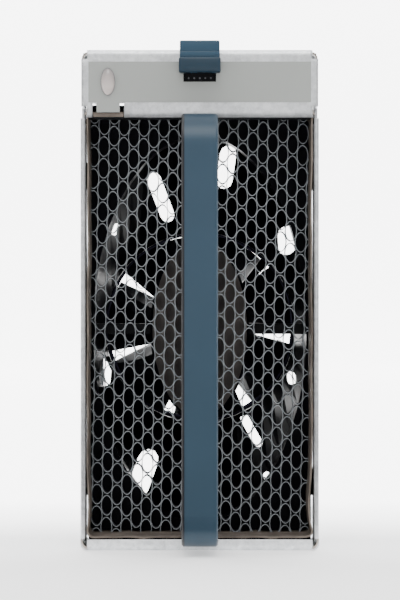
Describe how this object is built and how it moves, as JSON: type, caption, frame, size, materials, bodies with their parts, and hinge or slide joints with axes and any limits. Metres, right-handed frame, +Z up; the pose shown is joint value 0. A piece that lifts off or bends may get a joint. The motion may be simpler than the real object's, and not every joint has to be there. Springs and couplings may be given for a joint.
{
  "type": "server fan module",
  "caption": "Upright sheet-metal fan cartridge with a honeycomb inlet, an oval duct to a round axial fan, a strap handle, a push latch and a status light.",
  "frame": {"origin": "middle of the base's underside, half way between the front rims and the tray's rear edge", "axes": "+X to the right seen from the front, +Y into the chassis, +Z up"},
  "size_m": [0.0886, 0.148, 0.1874],
  "materials": {
    "galvanised": "galvanised, fine spangle",
    "label_grey": "satin grey overlay",
    "handle_blue": "satin blue-green paint",
    "button_blue": "satin blue-green moulding",
    "black_plastic": "moulded black",
    "core_alloy": "dull foil",
    "strip_bronze": "dull tan conversion coat",
    "lens_milk": "milky",
    "hub_brown": "dull brownish overlay",
    "board_green": "solder mask",
    "steel_bright": "plain steel",
    "magnet_dark": "bonded ferrite",
    "core_steel": "laminated electrical steel",
    "coil_copper": "enamelled copper wire",
    "contact_gold": "plated contacts",
    "spring_steel": "spring steel"
  },
  "bodies": {
    "housing": {"housing_tray": "galvanised", "top_cover": "galvanised", "cover_rivets": "steel_bright", "fascia_label": "label_grey", "led_lens": "lens_milk", "led_chip": "lens_milk", "board_standoffs": "steel_bright", "status_board": "board_green", "honeycomb_core": "core_alloy", "honeycomb_frame": "strip_bronze", "frame_clip": "strip_bronze", "handle_strap": "handle_blue", "handle_rivets": "steel_bright", "latch_guide": "galvanised", "latch_spring": "spring_steel", "inlet_duct": "black_plastic", "duct_screws": "steel_bright", "centre_body": "black_plastic", "hub_label": "hub_brown", "fan_shroud": "black_plastic", "shroud_screws": "steel_bright", "front_bearing": "steel_bright", "rear_bearing": "steel_bright", "stator_core": "core_steel", "stator_coils": "coil_copper", "driver_board": "board_green", "rear_panel": "galvanised", "connector_bracket": "galvanised", "connector_housing": "black_plastic", "connector_contacts": "contact_gold", "guide_block": "black_plastic"},
    "rotor": {"impeller": "black_plastic", "rotor_magnet": "magnet_dark", "motor_shaft": "steel_bright", "shaft_clip": "spring_steel"},
    "latch": {"latch_button": "button_blue", "latch_slider": "black_plastic"}
  },
  "joints": [
    {"name": "rotor_spin", "type": "hinge", "parent": "housing", "child": "rotor", "pos_m": [0, 0.0335, 0.0812], "axis": [0, 1, 0], "continuous": true},
    {"name": "latch_press", "type": "slide", "parent": "housing", "child": "latch", "axis": [0, 0, 1], "range_m": [-0.003, 0], "stiffness_N_per_m": 900, "deforming": ["latch_spring"]}
  ]
}
